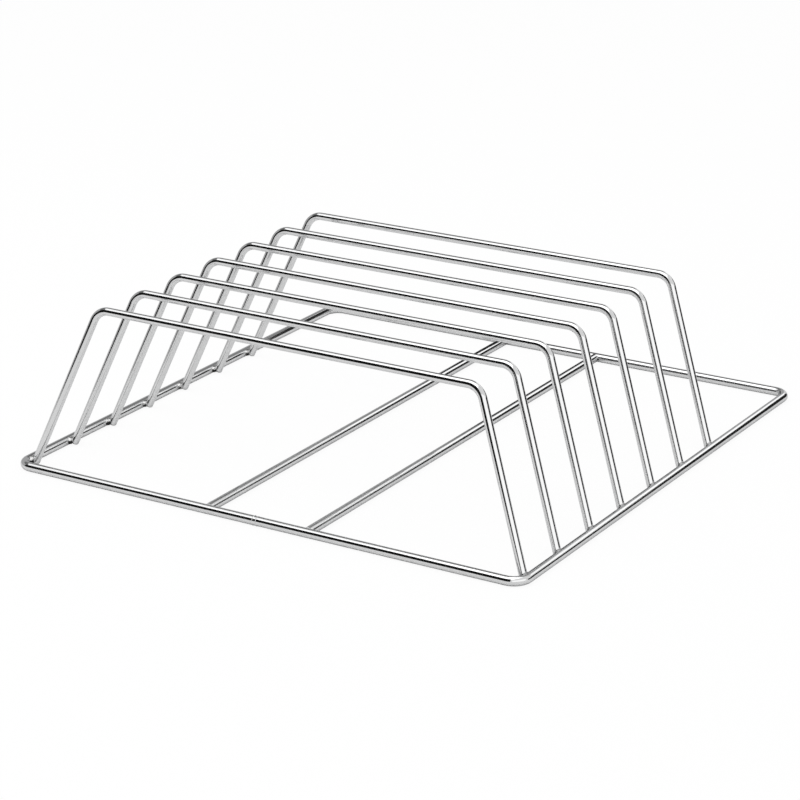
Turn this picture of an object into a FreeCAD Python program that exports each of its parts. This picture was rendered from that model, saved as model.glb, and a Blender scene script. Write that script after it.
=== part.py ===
import FreeCAD, Part
import Sketcher
import math
import os

# Tray rack welded from round stainless wire: a square base frame, two cross wires and a row of leaning hoops
# that hold trays on edge. Millimetres and degrees. The origin is on the floor under the middle of the frame,
# +X is to the right, +Y is to the back and +Z is up.

# Driving sizes
SIZES = {
    # Base frame
    "frame_width": 500,  # outside of the frame from left to right
    "frame_depth": 500,  # outside of the frame from front to back
    "frame_wire": 8,  # diameter of the frame wire
    "frame_mandrel": 9,  # inside radius of the four frame corners
    "butt_offset": 0,  # place of the butt weld along the front wire, from the middle
    "butt_gap": 1.2,  # room between the two ends of the frame wire, filled by the butt weld
    "butt_bead": 4.2,  # width of the butt weld's crown
    "butt_crown": 0.3,  # height of the butt weld's crown above the wire
    # Cross wires
    "cross_wire": 8,  # diameter of the two cross wires
    "cross_spacing": 98,  # distance between the two cross wires
    "cross_setdown": 1.5,  # how far a cross wire's end is forged into the frame wire
    "cross_tack_out": 2.2,  # how far a cross wire's weld pool stands out from the frame wire
    "cross_tack_run": 3.4,  # how far a cross wire's weld pool reaches beside the cross wire
    "cross_tack_height": 6.4,  # height of a cross wire's weld pool
    # Hoops
    "hoop_count": 7,  # number of hoops
    "hoop_wire": 7,  # diameter of the hoop wire
    "hoop_mandrel": 12,  # inside radius of the two hoop bends
    "hoop_top": 371,  # width of the hoop between the corners of its centre line
    "hoop_lean": 11,  # lean of the hoops to the back
    "hoop_pitch": 54,  # distance from hoop to hoop
    "first_hoop": 20,  # from the front of the frame to the middle of the first hoop's feet
    "rack_height": 144.5,  # from the floor to the top of the hoops
    "weld_setdown": 1.5,  # how far a hoop leg is forged into the frame wire
    "foot_lift": 0.3,  # clearance of the hoop feet above the floor
    "foot_round": 2.2,  # rounding of the cut ends of the hoop wire
    "hoop_tack_out": 2.6,  # how far a hoop's weld pool stands out from the frame wire
    "hoop_tack_run": 5.6,  # how far a hoop's weld pool reaches along the frame wire
    "hoop_tack_height": 6.4,  # height of a hoop's weld pool
}

doc = FreeCAD.newDocument("tray_rack")
sizes = doc.addObject("Spreadsheet::Sheet", "Sizes")
for row, (alias, value) in enumerate(SIZES.items(), start=1):
    sizes.set(f"A{row}", str(value))
    sizes.setAlias(f"A{row}", alias)
doc.recompute()

layout = doc.addObject("App::VarSet", "Layout")
X_AXIS = FreeCAD.Vector(1, 0, 0)
Z_AXIS = FreeCAD.Vector(0, 0, 1)
# How a sketch numbers the points of a line, an arc or a circle, and its own origin
START, END, CENTRE = range(1, 4)
ORIGIN = -1


def derive(name, expression, meaning):
    layout.addProperty("App::PropertyFloat", name, "Derived", meaning)
    layout.setExpression(name, expression)
    doc.recompute()
    return getattr(layout, name)


# Derived sizes of the base frame: where the centre line of its wire runs
frame_x = derive("frame_x", "(Sizes.frame_width - Sizes.frame_wire) / 2", "side wires from the middle")
frame_y = derive("frame_y", "(Sizes.frame_depth - Sizes.frame_wire) / 2", "front and back wires from the middle")
frame_bend = derive("frame_bend", "Sizes.frame_mandrel + Sizes.frame_wire / 2", "bend radius of the centre line")

# Derived sizes of a hoop: each leg lies against the inner side of a side wire and is forged into it.
# Seen from the front, the leg's axis runs from the hoop's corner past the side wire at the seat distance.
derive("hoop_height", "Sizes.rack_height - (Sizes.frame_wire + Sizes.hoop_wire) / 2", "hoop top above the frame")
derive("seat", "(Sizes.frame_wire + Sizes.hoop_wire) / 2 - Sizes.weld_setdown", "leg axis to frame wire axis")
derive("reach", "Layout.frame_x - Sizes.hoop_top / 2", "hoop corner to side wire, across the rack")
derive("span", "sqrt(Layout.reach ^ 2 + Layout.hoop_height ^ 2)", "hoop corner to side wire, straight")
derive(
    "splay",
    "(atan(Layout.reach / Layout.hoop_height) - asin(Layout.seat / Layout.span)) / (1 deg)",
    "angle of a leg from upright, seen from the front",
)
derive("slope", "sqrt(tan(Layout.splay) ^ 2 + tan(Sizes.hoop_lean) ^ 2)", "sideways run of a leg for its rise")
derive("leg_tilt", "atan(Layout.slope) / (1 deg)", "angle of a leg from upright")
derive(
    "foot_sag",
    "(Sizes.hoop_wire / 2 - Sizes.foot_round) * sin(Layout.leg_tilt)"
    " + Sizes.foot_round * (1 - cos(Layout.leg_tilt))",
    "lowest point of a leg's rounded end below the end of its axis",
)
derive(
    "foot_drop",
    "Sizes.frame_wire / 2 - Sizes.foot_lift - Layout.foot_sag",
    "end of a leg's axis below the frame wire's axis",
)
derive("seat_x", "Layout.frame_x - Layout.seat / cos(Layout.splay)", "leg axis from the middle at the frame")
hoop_bend = derive("hoop_bend", "Sizes.hoop_mandrel + Sizes.hoop_wire / 2", "bend radius of the centre line")
foot_x = derive("foot_x", "Layout.seat_x + Layout.foot_drop * tan(Layout.splay)", "leg's end from the middle")
foot_fall = derive("foot_fall", "Layout.foot_drop / cos(Sizes.hoop_lean)", "foot_drop, on the lean")
hoop_rise = derive("hoop_rise", "Layout.hoop_height / cos(Sizes.hoop_lean)", "hoop_height, on the lean")


def plane_of(body, role):
    for feature in body.Origin.OriginFeatures:
        if feature.Role == role:
            return feature
    raise RuntimeError("no plane " + role)


def sketch_on(body, role, name):
    sketch = body.newObject("Sketcher::SketchObject", name)
    sketch.AttachmentSupport = [(plane_of(body, role), "")]
    sketch.MapMode = "FlatFace"
    return sketch


def constrain(sketch, kind, *places, value=None):
    index = sketch.addConstraint(Sketcher.Constraint(kind, *places))
    if value is not None:
        sketch.setExpression(f"Constraints[{index}]", value)


def place_from_origin(sketch, geometry, point, x, y):
    start_x, start_y = sketch.getPoint(geometry, point).x, sketch.getPoint(geometry, point).y
    constrain(sketch, "DistanceX", ORIGIN, START, geometry, point, start_x, value=x)
    constrain(sketch, "DistanceY", ORIGIN, START, geometry, point, start_y, value=y)


def circle_section(body, role, name, centre, diameter):
    sketch = sketch_on(body, role, name)
    middle = FreeCAD.Vector(*centre)
    circle = sketch.addGeometry(Part.Circle(middle, Z_AXIS, getattr(sizes, diameter) / 2), False)
    constrain(sketch, "Diameter", circle, getattr(sizes, diameter), value=f"Sizes.{diameter}")
    return sketch, circle


def sweep(body, section, path, name):
    pipe = body.newObject("PartDesign::AdditivePipe", name)
    pipe.Profile = section
    pipe.Spine = (path, [f"Edge{number + 1}" for number in range(len(path.Shape.Edges))])
    doc.recompute()
    return pipe


def cut(name, blank, *tools):
    for number, tool in enumerate(tools, start=1):
        last = number == len(tools)
        result = doc.addObject("Part::Cut", name if last else f"{name}_cut_{number}")
        result.Base = blank
        result.Tool = tool
        blank = result
    return blank


# Base frame: one wire bent round four corners, with its two ends facing each other in the front wire
def frame_corner(middle_x, middle_y, from_angle):
    middle = FreeCAD.Vector(middle_x, middle_y, 0)
    circle = Part.Circle(middle, Z_AXIS, frame_bend)
    return Part.ArcOfCircle(circle, math.radians(from_angle), math.radians(from_angle + 90))


def frame_wire():
    body = doc.addObject("PartDesign::Body", "frame_wire")
    path = sketch_on(body, "XY_Plane", "frame_path")
    straight_x, straight_y = frame_x - frame_bend, frame_y - frame_bend
    right_end = sizes.butt_offset + sizes.butt_gap / 2
    left_end = sizes.butt_offset - sizes.butt_gap / 2
    runs = [
        ((right_end, -frame_y), (straight_x, -frame_y)),
        ((frame_x, -straight_y), (frame_x, straight_y)),
        ((straight_x, frame_y), (-straight_x, frame_y)),
        ((-frame_x, straight_y), (-frame_x, -straight_y)),
        ((-straight_x, -frame_y), (left_end, -frame_y)),
    ]
    corners = [(1, -1, 270), (1, 1, 0), (-1, 1, 90), (-1, -1, 180)]
    lines, arcs = [], []
    for number, (start, end) in enumerate(runs):
        line = Part.LineSegment(FreeCAD.Vector(*start, 0), FreeCAD.Vector(*end, 0))
        lines.append(path.addGeometry(line, False))
        if number < len(corners):
            side_x, side_y, angle = corners[number]
            arc = frame_corner(side_x * straight_x, side_y * straight_y, angle)
            arcs.append(path.addGeometry(arc, False))
    for number, arc in enumerate(arcs):
        constrain(path, "Tangent", lines[number], END, arc, START)
        constrain(path, "Tangent", arc, END, lines[number + 1], START)
    for number, line in enumerate(lines):
        constrain(path, "Vertical" if number % 2 else "Horizontal", line)
    constrain(path, "Radius", arcs[0], frame_bend, value="Layout.frame_bend")
    for arc in arcs[1:]:
        constrain(path, "Equal", arcs[0], arc)
    ends = "Sizes.butt_offset {} Sizes.butt_gap / 2"
    place_from_origin(path, lines[0], START, ends.format("+"), "-Layout.frame_y")
    place_from_origin(path, lines[4], END, ends.format("-"), "-Layout.frame_y")
    constrain(path, "DistanceX", ORIGIN, START, lines[1], START, frame_x, value="Layout.frame_x")
    constrain(path, "DistanceY", ORIGIN, START, lines[2], START, frame_y, value="Layout.frame_y")
    constrain(path, "DistanceX", ORIGIN, START, lines[3], START, -frame_x, value="-Layout.frame_x")
    section, circle = circle_section(body, "YZ_Plane", "frame_section", (-frame_y, 0, 0), "frame_wire")
    section.setExpression("AttachmentOffset.Base.z", ends.format("+"))
    place_from_origin(section, circle, CENTRE, "-Layout.frame_y", "0")
    doc.recompute()
    sweep(body, section, path, "frame_sweep")
    body.setExpression("Placement.Base.z", "Sizes.frame_wire / 2")
    doc.recompute()
    return body


# Butt weld: fills the room between the two wire ends and stands a little proud, dressed flat underneath
def butt_weld():
    body = doc.addObject("PartDesign::Body", "frame_butt_weld")
    profile = sketch_on(body, "XZ_Plane", "butt_profile")
    core, edge = sizes.butt_gap / 2, sizes.butt_bead / 2
    radius, top = sizes.frame_wire / 2, sizes.frame_wire / 2 + sizes.butt_crown
    corners = [(-edge, radius), (-core, radius), (-core, 0), (core, 0), (core, radius), (edge, radius)]
    lines = []
    for start, end in zip(corners, corners[1:]):
        line = Part.LineSegment(FreeCAD.Vector(*start, 0), FreeCAD.Vector(*end, 0))
        lines.append(profile.addGeometry(line, False))
    crown = Part.Arc(
        FreeCAD.Vector(edge, radius, 0),
        FreeCAD.Vector(0, top, 0),
        FreeCAD.Vector(-edge, radius, 0),
    )
    arc = profile.addGeometry(crown, False)
    peak = profile.addGeometry(Part.Point(FreeCAD.Vector(0, top, 0)), True)
    for first, second in zip(lines, lines[1:]):
        constrain(profile, "Coincident", first, END, second, START)
    constrain(profile, "Coincident", lines[-1], END, arc, START)
    constrain(profile, "Coincident", arc, END, lines[0], START)
    constrain(profile, "PointOnObject", peak, START, arc)
    place_from_origin(profile, lines[0], START, "-Sizes.butt_bead / 2", "Sizes.frame_wire / 2")
    place_from_origin(profile, lines[1], START, "-Sizes.butt_gap / 2", "Sizes.frame_wire / 2")
    place_from_origin(profile, lines[2], START, "-Sizes.butt_gap / 2", "0")
    place_from_origin(profile, lines[3], START, "Sizes.butt_gap / 2", "0")
    place_from_origin(profile, lines[4], START, "Sizes.butt_gap / 2", "Sizes.frame_wire / 2")
    place_from_origin(profile, arc, START, "Sizes.butt_bead / 2", "Sizes.frame_wire / 2")
    place_from_origin(profile, peak, START, "0", "Sizes.frame_wire / 2 + Sizes.butt_crown")
    doc.recompute()
    turned = body.newObject("PartDesign::Revolution", "butt_turned")
    turned.Profile = profile
    turned.ReferenceAxis = (profile, ["H_Axis"])
    turned.Angle = 360
    doc.recompute()
    under = sketch_on(body, "XY_Plane", "butt_underside")
    under.setExpression("AttachmentOffset.Base.z", "-Sizes.frame_wire / 2")
    disc = under.addGeometry(Part.Circle(FreeCAD.Vector(0, 0, 0), Z_AXIS, sizes.butt_bead), False)
    constrain(under, "Coincident", disc, CENTRE, ORIGIN, START)
    constrain(under, "Radius", disc, sizes.butt_bead, value="Sizes.butt_bead + Sizes.frame_wire")
    dressed = body.newObject("PartDesign::Pocket", "butt_dressed")
    dressed.Profile = under
    dressed.setExpression("Length", "Sizes.butt_crown * 2")
    doc.recompute()
    if not dressed.Shape.Volume < turned.Shape.Volume:
        raise RuntimeError("the butt weld is not dressed flat")
    body.setExpression("Placement.Base.x", "Sizes.butt_offset")
    body.setExpression("Placement.Base.y", "-Layout.frame_y")
    body.setExpression("Placement.Base.z", "Sizes.frame_wire / 2")
    return body


# Cross wires: straight lengths between the front and the back of the frame, at its own level
def cross_wire(name, side, frame):
    body = doc.addObject("PartDesign::Body", name + "_blank")
    section, circle = circle_section(body, "XZ_Plane", name + "_section", (0, 0, 0), "cross_wire")
    constrain(section, "Coincident", circle, CENTRE, ORIGIN, START)
    pad = body.newObject("PartDesign::Pad", name + "_length")
    pad.Profile = section
    pad.Midplane = True
    pad.setExpression("Length", "2 * Layout.frame_y - Sizes.frame_wire + 2 * Sizes.cross_setdown")
    body.setExpression("Placement.Base.x", f"{side} * Sizes.cross_spacing / 2")
    body.setExpression("Placement.Base.z", "Sizes.frame_wire / 2")
    doc.recompute()
    return cut(name, body, frame)


# A weld pool is half an ellipsoid that swells out of the frame wire's inner side, centred in that wire.
# What the wires leave of it is the bead.
def weld_pool(name, turn, kind, run, x, y):
    pool = doc.addObject("Part::Ellipsoid", name + "_pool")
    pool.Angle3 = 180
    pool.Placement = FreeCAD.Placement(FreeCAD.Vector(), FreeCAD.Rotation(Z_AXIS, turn))
    pool.setExpression("Radius1", f"Sizes.{kind}_tack_height / 2")
    pool.setExpression("Radius2", run)
    pool.setExpression("Radius3", f"Sizes.frame_wire / 2 + Sizes.{kind}_tack_out")
    pool.setExpression("Placement.Base.x", x)
    pool.setExpression("Placement.Base.y", y)
    pool.setExpression("Placement.Base.z", "Sizes.frame_wire / 2")
    return pool


# Tack weld of a cross wire: a small fillet on either side of the wire, in the corner with the frame
def cross_tack(name, side, end, frame, wire):
    run = "Sizes.cross_wire / 2 + Sizes.cross_tack_run"
    turn = 180 if end > 0 else 0
    x, y = f"{side} * Sizes.cross_spacing / 2", f"{end} * Layout.frame_y"
    pool = weld_pool(name, turn, "cross", run, x, y)
    return cut(name, pool, frame, wire)


# Hoops: half a hoop is swept from the middle of its top down to the foot and mirrored, then the cut ends are
# rounded and the legs are seated in the side wires
def hoop_path(body, name):
    path = sketch_on(body, "XZ_Plane", name + "_path")
    corner = FreeCAD.Vector(sizes.hoop_top / 2, hoop_rise, 0)
    foot = FreeCAD.Vector(foot_x, -foot_fall, 0)
    leg = (foot - corner).normalize()
    turn = X_AXIS.getAngle(leg)
    run_out = hoop_bend * math.tan(turn / 2)
    bend_start = corner - X_AXIS * run_out
    bend_end = corner + leg * run_out
    middle = bend_start - FreeCAD.Vector(0, hoop_bend, 0)
    circle = Part.Circle(middle, Z_AXIS, hoop_bend)
    top = path.addGeometry(Part.LineSegment(FreeCAD.Vector(0, hoop_rise, 0), bend_start), False)
    bend = path.addGeometry(Part.ArcOfCircle(circle, math.pi / 2 - turn, math.pi / 2), False)
    side = path.addGeometry(Part.LineSegment(bend_end, foot), False)
    apex = path.addGeometry(Part.Point(corner), True)
    constrain(path, "Horizontal", top)
    constrain(path, "Tangent", top, END, bend, END)
    constrain(path, "Tangent", bend, START, side, START)
    constrain(path, "Radius", bend, hoop_bend, value="Layout.hoop_bend")
    constrain(path, "PointOnObject", apex, START, top)
    constrain(path, "PointOnObject", apex, START, side)
    place_from_origin(path, top, START, "0", "Layout.hoop_rise")
    constrain(path, "DistanceX", ORIGIN, START, apex, START, sizes.hoop_top / 2, value="Sizes.hoop_top / 2")
    place_from_origin(path, side, END, "Layout.foot_x", "-Layout.foot_fall")
    doc.recompute()
    return path


def foot_edges(shape):
    edges = []
    for number, edge in enumerate(shape.Edges, start=1):
        middle = edge.BoundBox.Center
        beside = abs(abs(middle.x) - foot_x) < sizes.hoop_wire / 2
        level = abs(middle.z + foot_fall) < sizes.hoop_wire / 2
        if beside and level and edge.isClosed():
            edges.append(f"Edge{number}")
    return edges


def hoop(name, number, frame):
    body = doc.addObject("PartDesign::Body", name + "_blank")
    path = hoop_path(body, name)
    section, circle = circle_section(body, "YZ_Plane", name + "_section", (0, hoop_rise, 0), "hoop_wire")
    place_from_origin(section, circle, CENTRE, "0", "Layout.hoop_rise")
    doc.recompute()
    half = sweep(body, section, path, name + "_half")
    whole = body.newObject("PartDesign::Mirrored", name + "_whole")
    whole.Originals = [half]
    whole.MirrorPlane = (plane_of(body, "YZ_Plane"), [""])
    body.Tip = whole
    doc.recompute()
    rounded = body.newObject("PartDesign::Fillet", name + "_rounded")
    rounded.Base = (whole, foot_edges(whole.Shape))
    rounded.setExpression("Radius", "Sizes.foot_round")
    body.Tip = rounded
    body.Placement = FreeCAD.Placement(FreeCAD.Vector(), FreeCAD.Rotation(-X_AXIS, sizes.hoop_lean))
    body.setExpression("Placement.Rotation.Angle", "Sizes.hoop_lean")
    body.setExpression("Placement.Base.y", hoop_place(number))
    body.setExpression("Placement.Base.z", "Sizes.frame_wire / 2")
    doc.recompute()
    return cut(name, body, frame)


def hoop_place(number):
    return f"Sizes.first_hoop - Sizes.frame_depth / 2 + {number - 1} * Sizes.hoop_pitch"


# Tack weld of a hoop foot: one lump in front of the leg, in the corner with the side wire
def hoop_tack(name, number, side, frame, wire):
    turn = 90 * side
    x, y = f"{side} * Layout.frame_x", f"{hoop_place(number)} - Sizes.hoop_wire / 2"
    pool = weld_pool(name, turn, "hoop", "Sizes.hoop_tack_run", x, y)
    return cut(name, pool, frame, wire)


# The rack, put together in the order in which it is welded
frame = frame_wire()
pieces = [(frame, 1), (butt_weld(), 1)]
SIDES = {"left": -1, "right": 1}
ENDS = {"front": -1, "back": 1}
for side_name, side in SIDES.items():
    wire = cross_wire(f"cross_wire_{side_name}", side, frame)
    pieces.append((wire, 1))
    for end_name, end in ENDS.items():
        tack = cross_tack(f"cross_wire_{side_name}_{end_name}_weld", side, end, frame, wire)
        pieces.append((tack, 2))
for number in range(1, int(sizes.hoop_count) + 1):
    wire = hoop(f"hoop_{number}", number, frame)
    pieces.append((wire, 1))
    for side_name, side in SIDES.items():
        tack = hoop_tack(f"hoop_{number}_{side_name}_weld", number, side, frame, wire)
        pieces.append((tack, 1))
doc.recompute()

# Every object has to be sound before anything is written
for item in doc.Objects:
    if "Invalid" in item.State or "Error" in item.State:
        raise RuntimeError(f"{item.Label} failed: {item.State}")
for piece, solids in pieces:
    shape = piece.Shape
    if shape.isNull() or not shape.isValid() or len(shape.Solids) != solids:
        raise RuntimeError(f"{piece.Label} is not sound: {len(shape.Solids)} solids")

os.makedirs("parts", exist_ok=True)
for piece, solids in pieces:
    piece.Shape.exportStep(f"parts/{piece.Label}.step")
    print(f"{piece.Label} volume {piece.Shape.Volume:.1f} solids {solids}")
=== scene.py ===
# Tray rack of welded stainless wire. Metres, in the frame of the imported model: the origin is on the floor
# under the middle of the rack, +X is to the right, +Y is to the back and +Z is up.
import math

import bpy
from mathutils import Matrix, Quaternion, Vector


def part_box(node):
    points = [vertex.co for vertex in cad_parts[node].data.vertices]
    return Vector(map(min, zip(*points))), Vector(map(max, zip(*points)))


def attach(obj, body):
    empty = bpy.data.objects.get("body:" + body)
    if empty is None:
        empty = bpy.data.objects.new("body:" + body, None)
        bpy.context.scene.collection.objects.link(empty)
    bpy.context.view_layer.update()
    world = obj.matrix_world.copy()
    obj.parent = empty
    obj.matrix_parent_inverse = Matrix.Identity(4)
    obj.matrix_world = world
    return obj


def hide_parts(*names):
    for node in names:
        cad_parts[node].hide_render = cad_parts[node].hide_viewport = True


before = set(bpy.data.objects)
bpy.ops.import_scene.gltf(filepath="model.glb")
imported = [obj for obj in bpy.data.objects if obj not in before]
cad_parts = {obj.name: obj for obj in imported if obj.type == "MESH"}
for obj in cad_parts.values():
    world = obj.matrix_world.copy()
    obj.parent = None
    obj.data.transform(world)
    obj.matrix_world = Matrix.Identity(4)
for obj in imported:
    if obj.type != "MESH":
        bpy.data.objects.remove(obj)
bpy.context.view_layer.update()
scene = bpy.context.scene
scene.view_settings.view_transform = "Standard"


# Base frame
# One length of bright drawn stainless wire, bent round a former at four corners until its ends meet in the
# front wire, where a butt weld closes it. Everything else is welded to it.
class Socket:
    """An output of a node tree. Its operators add Math nodes to the tree, and node() adds any other."""

    def __init__(self, tree, output=None):
        self.tree = tree
        self.output = output

    def node(self, kind, settings=None, inputs=None, output=None):
        made = self.tree.nodes.new(kind)
        for name, value in (settings or {}).items():
            setattr(made, name, value)
        for name, value in (inputs or {}).items():
            socket = next(s for s in made.inputs if name in (s.identifier, s.name))
            if isinstance(value, Socket):
                self.tree.links.new(value.output, socket)
            else:
                socket.default_value = value
        chosen = made.outputs[0] if output is None else made.outputs[output]
        return Socket(self.tree, chosen)

    def math(self, operation, first, second):
        return self.node("ShaderNodeMath", {"operation": operation}, {"Value": first, "Value_001": second})

    def component(self, axis):
        return self.node("ShaderNodeSeparateXYZ", inputs={"Vector": self}, output=axis)

    def absolute(self):
        return self.node("ShaderNodeMath", {"operation": "ABSOLUTE"}, {"Value": self})

    def blend(self, first, second):
        colors = {"Factor_Float": self, "A_Color": first, "B_Color": second}
        color_output = 2
        return self.node("ShaderNodeMix", {"data_type": "RGBA"}, colors, color_output)

    def __add__(self, other):
        return self.math("ADD", self, other)

    def __radd__(self, other):
        return self.math("ADD", other, self)

    def __sub__(self, other):
        return self.math("SUBTRACT", self, other)

    def __rsub__(self, other):
        return self.math("SUBTRACT", other, self)

    def __mul__(self, other):
        return self.math("MULTIPLY", self, other)

    def __rmul__(self, other):
        return self.math("MULTIPLY", other, self)


def geometry_tree(name, sizes):
    """A new geometry tree with an input for each size, and the sockets of those inputs."""
    tree = bpy.data.node_groups.new(name, "GeometryNodeTree")
    for size, kind in sizes.items():
        tree.interface.new_socket(size, in_out="INPUT", socket_type="NodeSocket" + kind)
    tree.interface.new_socket("Result", in_out="OUTPUT", socket_type="NodeSocketGeometry")
    entry = tree.nodes.new("NodeGroupInput")
    return tree, {size: Socket(tree, entry.outputs[size]) for size in sizes}


def finish_tree(shape, finish):
    """End a geometry tree: the shape is smoothed, made whole and given its material."""
    smooth = shape.node("GeometryNodeSetShadeSmooth", inputs={"Geometry": shape})
    whole = shape.node("GeometryNodeRealizeInstances", inputs={"Geometry": smooth})
    dressed = shape.node("GeometryNodeSetMaterial", inputs={"Geometry": whole, "Material": finish})
    leave = shape.tree.nodes.new("NodeGroupOutput")
    shape.tree.links.new(dressed.output, leave.inputs["Result"])


def grow(name, points, tree, sizes, cut_round=0.0):
    """A piece made by a tree from a path of points, baked to a plain mesh."""
    mesh = bpy.data.meshes.new(name)
    mesh.from_pydata(points, [(i, i + 1) for i in range(len(points) - 1)], [])
    piece = bpy.data.objects.new(name, mesh)
    scene.collection.objects.link(piece)
    modifier = piece.modifiers.new("shape", "NODES")
    modifier.node_group = tree
    for item in tree.interface.items_tree:
        if item.name in sizes:
            modifier[item.identifier] = sizes[item.name]
    if cut_round:
        bevel = piece.modifiers.new("cut ends", "BEVEL")
        bevel.limit_method = "ANGLE"
        bevel.angle_limit = math.radians(60)
        bevel.width = cut_round
        bevel.segments = 8
    ready = bpy.context.evaluated_depsgraph_get()
    baked = bpy.data.meshes.new_from_object(
        piece.evaluated_get(ready),
        preserve_all_data_layers=True,
        depsgraph=ready,
    )
    piece.modifiers.clear()
    piece.data = baked
    baked.name = name
    bpy.data.meshes.remove(mesh)
    return piece


wire_tree, wire = geometry_tree(
    "bent wire",
    {
        "Path": "Geometry",
        "Wire radius": "Float",
        "Wire sides": "Int",
        "Bend radius": "Float",
        "Bend steps": "Int",
        "Finish": "Material",
    },
)
line = wire["Path"].node("GeometryNodeMeshToCurve", inputs={"Mesh": wire["Path"]})
bent = line.node(
    "GeometryNodeFilletCurve",
    {"mode": "POLY"},
    {"Curve": line, "Count": wire["Bend steps"], "Radius": wire["Bend radius"], "Limit Radius": True},
)
length = line.node("GeometryNodeSplineParameter", output="Length")
marked = line.node(
    "GeometryNodeStoreNamedAttribute",
    {"data_type": "FLOAT", "domain": "POINT"},
    {"Geometry": bent, "Name": "along", "Value": length},
)
circle = line.node(
    "GeometryNodeCurvePrimitiveCircle",
    inputs={"Resolution": wire["Wire sides"], "Radius": wire["Wire radius"]},
)
section = line.node(
    "GeometryNodeStoreNamedAttribute",
    {"data_type": "FLOAT_VECTOR", "domain": "POINT"},
    {"Geometry": circle, "Name": "section", "Value": line.node("GeometryNodeInputPosition")},
)
swept = line.node(
    "GeometryNodeCurveToMesh",
    inputs={"Curve": marked, "Profile Curve": section, "Fill Caps": True},
)
finish_tree(swept, wire["Finish"])


def stainless_wire(name, seed):
    """Bright drawn stainless steel: fine lines along the wire, slightly duller patches and slight waves."""
    material = bpy.data.materials.new(name)
    material.use_nodes = True
    tree = material.node_tree
    shader = tree.nodes["Principled BSDF"]
    start = Socket(tree)
    along = start.node("ShaderNodeAttribute", {"attribute_name": "along"}, output="Fac")
    around = start.node("ShaderNodeAttribute", {"attribute_name": "section"}, output="Vector")
    across = around.component("X")
    upright = around.component("Y")

    def grain(stretch, scale, detail):
        place = start.node("ShaderNodeCombineXYZ", inputs={"X": along * stretch, "Y": across, "Z": upright})
        return start.node(
            "ShaderNodeTexNoise",
            {"noise_dimensions": "4D"},
            {"Vector": place, "W": seed, "Scale": scale, "Detail": detail, "Roughness": 0.6},
        )

    lines = grain(stretch=0.004, scale=4200, detail=3)
    patches = grain(stretch=0.25, scale=160, detail=4)
    wave = grain(stretch=0.5, scale=45, detail=1)
    cool_steel = (0.60, 0.605, 0.61, 1)
    bright_steel = (0.67, 0.67, 0.668, 1)
    tint = patches.blend(cool_steel, bright_steel)
    tree.links.new(tint.output, shader.inputs["Base Color"])
    polish = 0.05
    patch_roughness = 0.06
    line_roughness = 0.03
    roughness = polish + patches * patch_roughness + lines * line_roughness
    tree.links.new(roughness.output, shader.inputs["Roughness"])
    line_depth = 0.000004
    wave_depth = 0.00006
    relief = lines * line_depth + wave * wave_depth
    bump = start.node("ShaderNodeBump", inputs={"Height": relief, "Strength": 1.0, "Distance": 1.0})
    tree.links.new(bump.output, shader.inputs["Normal"])
    shader.inputs["Metallic"].default_value = 1.0
    shader.inputs["Specular Tint"].default_value = (0.8, 0.8, 0.81, 1)
    return material


low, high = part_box("frame_wire")
frame_radius = (high.z - low.z) / 2
frame_level = (high.z + low.z) / 2
side_x = high.x - frame_radius
end_y = high.y - frame_radius
frame_bend = 0.013
butt_low, butt_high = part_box("frame_butt_weld")
butt_x = (butt_low.x + butt_high.x) / 2
butt_half_gap = 0.0006
frame_steel = stainless_wire("frame steel", 1.0)
frame_corners = [(side_x, -end_y), (side_x, end_y), (-side_x, end_y), (-side_x, -end_y)]
frame_path = [
    (butt_x + butt_half_gap, -end_y, frame_level),
    *[(x, y, frame_level) for x, y in frame_corners],
    (butt_x - butt_half_gap, -end_y, frame_level),
]
base_frame = grow("base_frame", frame_path, wire_tree, {
    "Wire radius": frame_radius,
    "Wire sides": 64,
    "Bend radius": frame_bend,
    "Bend steps": 24,
    "Finish": frame_steel,
})
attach(base_frame, "root")
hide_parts("frame_wire")


# Cross wires
# Two straight lengths of the same wire, cut to fit between the front and the back of the frame. Their ends
# are pressed a little into the frame wire by the welding.
for side in ("left", "right"):
    node = f"cross_wire_{side}"
    low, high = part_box(node)
    cross_x = (low.x + high.x) / 2
    cross_radius = (high.x - low.x) / 2
    cross_path = [(cross_x, low.y, frame_level), (cross_x, high.y, frame_level)]
    piece = grow(f"{node}_steel", cross_path, wire_tree, {
        "Wire radius": cross_radius,
        "Wire sides": 64,
        "Bend radius": 0.0,
        "Bend steps": 1,
        "Finish": frame_steel,
    })
    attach(piece, "root")
    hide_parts(node)


# Hoops
# Seven lengths of thinner stainless wire, each bent twice and leaning to the back. The legs stand against
# the inner sides of the side wires, and their sheared ends are rounded off.
hoop_count = 7
hoop_radius = 0.0035
hoop_bend = 0.0155
hoop_lean = math.radians(11)
hoop_half_top = 0.1855
hoop_seat_x = 0.23955
foot_drop = 0.00299
foot_round = 0.0022
hoop_steel = stainless_wire("hoop steel", 7.0)
for number in range(1, hoop_count + 1):
    node = f"hoop_{number}"
    low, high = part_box(node)
    top_z = high.z - hoop_radius
    top_y = high.y - hoop_radius
    seat_y = top_y - (top_z - frame_level) * math.tan(hoop_lean)
    spread = (hoop_seat_x - hoop_half_top) / (top_z - frame_level)
    foot_x = hoop_seat_x + foot_drop * spread
    foot_y = seat_y - foot_drop * math.tan(hoop_lean)
    foot_z = frame_level - foot_drop
    hoop_path = [
        (-foot_x, foot_y, foot_z),
        (-hoop_half_top, top_y, top_z),
        (hoop_half_top, top_y, top_z),
        (foot_x, foot_y, foot_z),
    ]
    piece = grow(f"{node}_steel", hoop_path, wire_tree, {
        "Wire radius": hoop_radius,
        "Wire sides": 56,
        "Bend radius": hoop_bend,
        "Bend steps": 20,
        "Finish": hoop_steel,
    }, foot_round)
    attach(piece, "root")
    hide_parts(node)


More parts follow.
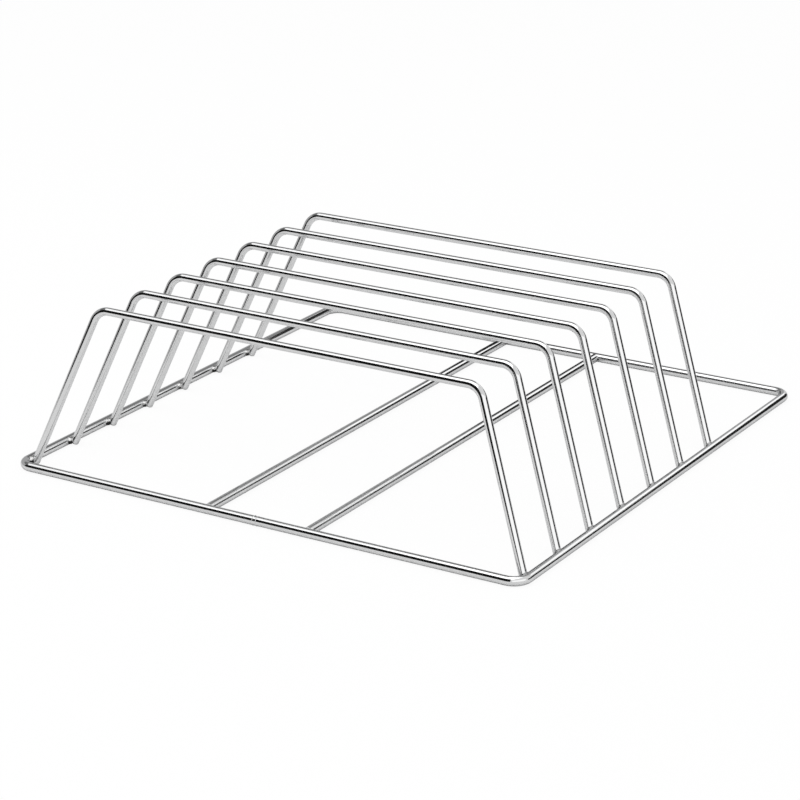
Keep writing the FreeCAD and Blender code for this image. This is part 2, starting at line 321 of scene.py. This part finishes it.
# Welds of the hoops and of the cross wires
# Small pools of steel that melted in the corner between two wires and froze with a lumpy skin. Each has a
# dull grey film where it was hottest, and many have a dark pit, whose black is painted shade and dark
# reflection, put at the same place low on the front of both sides of each bead.
bead_tree, bead = geometry_tree(
    "weld beads",
    {
        "Path": "Geometry",
        "Half sizes": "Vector",
        "Lump height": "Float",
        "Lumps per metre": "Float",
        "Seed": "Float",
        "Finish": "Material",
    },
)
ball = bead["Path"].node("GeometryNodeMeshIcoSphere", inputs={"Radius": 1.0, "Subdivisions": 5})
marked_ball = ball.node(
    "GeometryNodeStoreNamedAttribute",
    {"data_type": "FLOAT_VECTOR", "domain": "POINT"},
    {"Geometry": ball, "Name": "pool", "Value": ball.node("GeometryNodeInputPosition")},
)
pools = ball.node(
    "GeometryNodeInstanceOnPoints",
    inputs={"Points": bead["Path"], "Instance": marked_ball, "Scale": bead["Half sizes"]},
)
loose = ball.node("GeometryNodeRealizeInstances", inputs={"Geometry": pools})
lumps = ball.node(
    "ShaderNodeTexNoise",
    {"noise_dimensions": "4D"},
    {
        "Vector": ball.node("GeometryNodeInputPosition"),
        "W": bead["Seed"],
        "Scale": bead["Lumps per metre"],
        "Detail": 2.0,
    },
)
rise = (lumps - 0.5) * 2.0 * bead["Lump height"]
push = ball.node(
    "ShaderNodeVectorMath",
    {"operation": "SCALE"},
    {"Vector": ball.node("GeometryNodeInputNormal"), "Scale": rise},
)
lumpy = ball.node("GeometryNodeSetPosition", inputs={"Geometry": loose, "Offset": push})
finish_tree(lumpy, bead["Finish"])


def weld_steel(name):
    """Steel that froze from a melt: rougher than the wire, rippled, with a ragged dark pit on either side,
    whose black is painted shade and dark reflection.
    """
    material = bpy.data.materials.new(name)
    material.use_nodes = True
    tree = material.node_tree
    shader = tree.nodes["Principled BSDF"]
    start = Socket(tree)
    place = start.node("ShaderNodeTexCoord", output="Object")
    film = start.node("ShaderNodeTexNoise", inputs={"Vector": place, "Scale": 420.0, "Detail": 4.0})
    pool = start.node("ShaderNodeAttribute", {"attribute_name": "pool"}, output="Vector")
    beside = pool.component("X").absolute()
    folded = start.node(
        "ShaderNodeCombineXYZ",
        inputs={"X": beside, "Y": pool.component("Y"), "Z": pool.component("Z")},
    )
    # The pit sits low on the front of both sides of every bead, where painted shade is put.
    pit_and_shade_place = (0.72, -0.64, -0.18)
    away = start.node(
        "ShaderNodeVectorMath",
        {"operation": "DISTANCE"},
        {"Vector": folded, "Vector_001": pit_and_shade_place},
        "Value",
    )
    bigness = start.node("ShaderNodeTexNoise", inputs={"Vector": place, "Scale": 23.0, "Detail": 0.0})
    noise_middle = 0.5
    raggedness = 1.2
    pit_spread = 0.8
    ragged = away + (film - noise_middle) * raggedness - (bigness - noise_middle) * pit_spread
    pit_core = 0.40
    pit_rim = 0.52
    pits_and_shade = start.node(
        "ShaderNodeMapRange",
        {"interpolation_type": "SMOOTHSTEP"},
        {"Value": ragged, "From Min": pit_core, "From Max": pit_rim, "To Min": 1.0, "To Max": 0.0},
    )
    dull_steel = (0.30, 0.30, 0.30, 1)
    clean_steel = (0.60, 0.60, 0.595, 1)
    # Painted shade and dark reflection: this black in the pits stands in for shade, not for a colour of the
    # steel.
    pit_shade_black = (0.03, 0.03, 0.03, 1)
    steel = film.blend(dull_steel, clean_steel)
    pitted_and_shaded = pits_and_shade.blend(steel, pit_shade_black)
    tree.links.new(pitted_and_shaded.output, shader.inputs["Base Color"])
    skin_roughness = 0.14
    film_roughness = 0.2
    pit_roughness = 0.3
    roughness = skin_roughness + film * film_roughness + pits_and_shade * pit_roughness
    tree.links.new(roughness.output, shader.inputs["Roughness"])
    ripples = start.node("ShaderNodeTexNoise", inputs={"Vector": place, "Scale": 900.0, "Detail": 2.0})
    ripple_height = 0.00012
    pit_depth = 0.0003
    relief = ripples * ripple_height - pits_and_shade * pit_depth
    bump = start.node("ShaderNodeBump", inputs={"Height": relief, "Strength": 1.0, "Distance": 1.0})
    tree.links.new(bump.output, shader.inputs["Normal"])
    shader.inputs["Metallic"].default_value = 1.0
    return material


bead_steel = weld_steel("weld steel")
lumps_per_metre = 420.0
hoop_bead_half = Vector((0.0048, 0.0058, 0.0033))
hoop_bead_seed = 3.0
for side, outward in (("left", -1), ("right", 1)):
    nodes = [f"hoop_{number}_{side}_weld" for number in range(1, hoop_count + 1)]
    bead_places = []
    for node in nodes:
        low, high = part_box(node)
        inner_x = high.x if side == "left" else low.x
        bead_x = inner_x + outward * hoop_bead_half.x
        bead_places.append((bead_x, low.y + hoop_bead_half.y, frame_level))
    piece = grow(f"hoop_welds_{side}", bead_places, bead_tree, {
        "Half sizes": hoop_bead_half,
        "Lump height": 0.0004,
        "Lumps per metre": lumps_per_metre,
        "Seed": hoop_bead_seed + outward,
        "Finish": bead_steel,
    })
    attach(piece, "root")
    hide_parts(*nodes)

cross_bead_half = Vector((0.0066, 0.0034, 0.0026))
cross_bead_seed = 9.0
for end, outward in (("front", -1), ("back", 1)):
    nodes = [f"cross_wire_{side}_{end}_weld" for side in ("left", "right")]
    bead_places = []
    for node in nodes:
        low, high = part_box(node)
        inner_y = high.y if end == "front" else low.y
        bead_y = inner_y + outward * cross_bead_half.y
        bead_places.append(((low.x + high.x) / 2, bead_y, frame_level))
    piece = grow(f"cross_welds_{end}", bead_places, bead_tree, {
        "Half sizes": cross_bead_half,
        "Lump height": 0.0002,
        "Lumps per metre": lumps_per_metre,
        "Seed": cross_bead_seed + outward,
        "Finish": bead_steel,
    })
    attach(piece, "root")
    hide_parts(*nodes)


# Butt weld of the frame
# The two ends of the frame wire were pushed together while hot, which left two low ridges with a groove
# between them. The weld is ground flat underneath, so that the frame stands level.
ridge_tree, ridge = geometry_tree(
    "butt weld ring",
    {
        "Path": "Geometry",
        "Wire radius": "Float",
        "Ridge height": "Float",
        "Floor level": "Float",
        "Finish": "Material",
    },
)
core = ridge["Path"].node("GeometryNodeMeshToCurve", inputs={"Mesh": ridge["Path"]})
stations = core.node("GeometryNodeResampleCurve", {"mode": "COUNT"}, {"Curve": core, "Count": 65})
station = core.node("GeometryNodeSplineParameter", output="Factor")
aside = (station * 2.0 - 1.0).absolute()
ridge_middle = 0.84
ridge_width = 0.12
offset = (aside - ridge_middle) * (1 / ridge_width)
hump = core.node("ShaderNodeMath", {"operation": "EXPONENT"}, {"Value": offset * offset * -1.0})
ridge_share = 0.85
groove_share = 0.1
swell = ridge["Wire radius"] + (hump * ridge_share + groove_share) * ridge["Ridge height"]
disc = core.node("GeometryNodeCurvePrimitiveCircle", inputs={"Resolution": 64, "Radius": 1.0})
ring = core.node(
    "GeometryNodeCurveToMesh",
    inputs={"Curve": stations, "Profile Curve": disc, "Scale": swell, "Fill Caps": True},
)
spot = core.node("GeometryNodeInputPosition")
ground_z = core.math("MAXIMUM", spot.component("Z"), ridge["Floor level"])
ground = core.node(
    "ShaderNodeCombineXYZ",
    inputs={"X": spot.component("X"), "Y": spot.component("Y"), "Z": ground_z},
)
dressed_ring = core.node("GeometryNodeSetPosition", inputs={"Geometry": ring, "Position": ground})
finish_tree(dressed_ring, ridge["Finish"])
butt_ring = grow(
    "butt_weld_ring",
    [(butt_low.x, -end_y, frame_level), (butt_high.x, -end_y, frame_level)],
    ridge_tree,
    {
        "Wire radius": frame_radius,
        "Ridge height": butt_high.z - frame_level - frame_radius,
        "Floor level": butt_low.z,
        "Finish": frame_steel,
    },
)
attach(butt_ring, "root")
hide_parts("frame_butt_weld")


# Floor and surroundings
# A white table in a white tent. Both look plain white to the camera, and the table keeps a faint shadow.
# Dark and grey cards, seen only in the steel, stand round the tent and behind the rack's back left corner to
# draw lines in the bright wire.
def shown(start):
    """1 for what the camera sees, straight or through something clear, and 0 for any other light."""
    camera = start.node("ShaderNodeLightPath", output="Is Camera Ray")
    clear = start.node("ShaderNodeLightPath", output="Is Transmission Ray")
    return start.math("MAXIMUM", camera, clear)


floor_half = 9.0
floor_mesh = bpy.data.meshes.new("table")
floor_corners = [(x * floor_half, y * floor_half, 0) for x, y in ((-1, -1), (1, -1), (1, 1), (-1, 1))]
floor_mesh.from_pydata(floor_corners, [], [(0, 1, 2, 3)])
floor = bpy.data.objects.new("table", floor_mesh)
scene.collection.objects.link(floor)
table_white = bpy.data.materials.new("table white")
table_white.use_nodes = True
table_nodes = table_white.node_tree
table_nodes.nodes.clear()
table = Socket(table_nodes)
table_tone = 0.97
matt = table.node("ShaderNodeBsdfDiffuse", inputs={"Color": (table_tone, table_tone, table_tone, 1)})
glow = table.node("ShaderNodeEmission", inputs={"Color": (1, 1, 1, 1), "Strength": 1.0})
shadow_share = 0.08
mixed = table.node(
    "ShaderNodeMixShader",
    inputs={"Fac": shown(table) * (1 - shadow_share), "Shader": matt, "Shader_001": glow},
)
table_end = table_nodes.nodes.new("ShaderNodeOutputMaterial")
table_nodes.links.new(mixed.output, table_end.inputs["Surface"])
floor_mesh.materials.append(table_white)

world = bpy.data.worlds.new("white tent")
scene.world = world
world.use_nodes = True
tent = Socket(world.node_tree)
tent_fill = 0.62
tent_light = world.node_tree.nodes["Background"]
tent_light.inputs["Color"].default_value = (1, 1, 1, 1)
mirrored = tent.node("ShaderNodeLightPath", output="Is Glossy Ray")
tent_seen = tent.math("MAXIMUM", shown(tent), mirrored)
tent_level = tent_fill + tent_seen * (1 - tent_fill)
world.node_tree.links.new(tent_level.output, tent_light.inputs["Strength"])


def card(name, corners, tone, faces=None):
    """A grey card that glows evenly at its tone and shows only in the steel: one face round all corners
    unless faces are given.
    """
    mesh = bpy.data.meshes.new(name)
    mesh.from_pydata(corners, [], faces or [range(len(corners))])
    made = bpy.data.objects.new(name, mesh)
    scene.collection.objects.link(made)
    paint = bpy.data.materials.new(name)
    paint.use_nodes = True
    tree = paint.node_tree
    tree.nodes.clear()
    grey = (tone, tone, tone, 1)
    light = Socket(tree).node("ShaderNodeEmission", inputs={"Color": grey, "Strength": 1.0})
    card_end = tree.nodes.new("ShaderNodeOutputMaterial")
    tree.links.new(light.output, card_end.inputs["Surface"])
    mesh.materials.append(paint)
    made.visible_camera = False
    made.visible_diffuse = False
    made.visible_shadow = False


def wall(name, azimuths, elevations, tone):
    """A curved card round the rack. Azimuth 0 is the front, 90 the right and -90 the left, in degrees."""
    first, last = azimuths
    distance = 2.8
    steps = 12
    corners = []
    for step in range(steps + 1):
        angle = math.radians(first + (last - first) * step / steps)
        for elevation in elevations:
            height = distance * math.tan(math.radians(elevation))
            corners.append((distance * math.sin(angle), -distance * math.cos(angle), height))
    faces = [(2 * step, 2 * step + 2, 2 * step + 3, 2 * step + 1) for step in range(steps)]
    card(name, corners, tone, faces)


front_flag_corners = [
    (-1.3, -0.75, 0.1),
    (-0.9, -0.75, 0.05),
    (0.34, -0.75, 0.05),
    (0.40, -1.1, 1.6),
    (-2.6, -1.1, 1.75),
]
card("front_flag", front_flag_corners, tone=0.01)
wall("right_wall", azimuths=(102, 148), elevations=(0, 20), tone=0.02)
wall("back_wall", azimuths=(148, 174), elevations=(0, 27), tone=0.02)
wall("left_wall", azimuths=(-168, -62), elevations=(0, 30), tone=0.55)
wall("left_wall_top", azimuths=(-178, -62), elevations=(30, 62), tone=0.22)
wall("back_wall_top", azimuths=(150, 182), elevations=(36, 62), tone=0.75)
corner_flag_corners = [
    (-0.24, 0.42, 0.03),
    (0.08, 0.42, 0.02),
    (0, 0.42, 0.12),
    (-0.1, 0.42, 0.22),
    (-0.215, 0.42, 0.22),
]
card("corner_flag", corner_flag_corners, tone=0.03)
corner_screen_corners = [
    (-0.32, 0.43, 0.22),
    (-0.06, 0.43, 0.22),
    (-0.06, 0.43, 0.52),
    (-0.32, 0.43, 0.52),
]
card("corner_screen", corner_screen_corners, tone=0.36)


# Lamps
# A large soft box overhead to the left, a wide one to the right of the camera and another high at the back.
def soft_box(name, place, target, width, height, brightness):
    """A flat lamp that faces its target, as bright all over as a white card at that brightness."""
    lamp = bpy.data.lights.new(name, "AREA")
    lamp.shape = "RECTANGLE"
    lamp.size = width
    lamp.size_y = height
    lamp.energy = brightness * math.pi * width * height
    made = bpy.data.objects.new(name, lamp)
    made.location = place
    made.rotation_euler = (Vector(target) - Vector(place)).to_track_quat("-Z", "Y").to_euler()
    made.visible_camera = False
    scene.collection.objects.link(made)


soft_box(
    "overhead_box",
    place=(-0.8, -0.57, 2.6),
    target=(-0.8, -0.57, 0),
    width=3.3,
    height=2.86,
    brightness=1.25,
)
soft_box(
    "right_box",
    place=(2.40, -1.52, 1.25),
    target=(0, 0, 0.1),
    width=4.0,
    height=1.6,
    brightness=0.5,
)
soft_box(
    "back_box",
    place=(0.55, 2.6, 1.6),
    target=(0, 0, 0.1),
    width=2.0,
    height=0.9,
    brightness=0.65,
)


# Camera
# At the photograph's viewing angle, with a long lens.
camera_aim = Vector((-0.0164, 0.0019, 0.0265))
camera_azimuth = math.radians(32.067)
camera_elevation = math.radians(20.232)
camera_roll = math.radians(-0.583)
camera_distance = 2.469
look = Vector((
    -math.sin(camera_azimuth) * math.cos(camera_elevation),
    math.cos(camera_azimuth) * math.cos(camera_elevation),
    -math.sin(camera_elevation),
))
lens = bpy.data.cameras.new("camera")
lens.sensor_fit = "HORIZONTAL"
lens.sensor_width = 36.0
lens.lens = 126.05
lens.clip_end = 50.0
camera = bpy.data.objects.new("camera", lens)
camera.location = camera_aim - look * camera_distance
camera.rotation_mode = "QUATERNION"
camera.rotation_quaternion = look.to_track_quat("-Z", "Y") @ Quaternion((0, 0, 1), camera_roll)
scene.collection.objects.link(camera)
scene.camera = camera
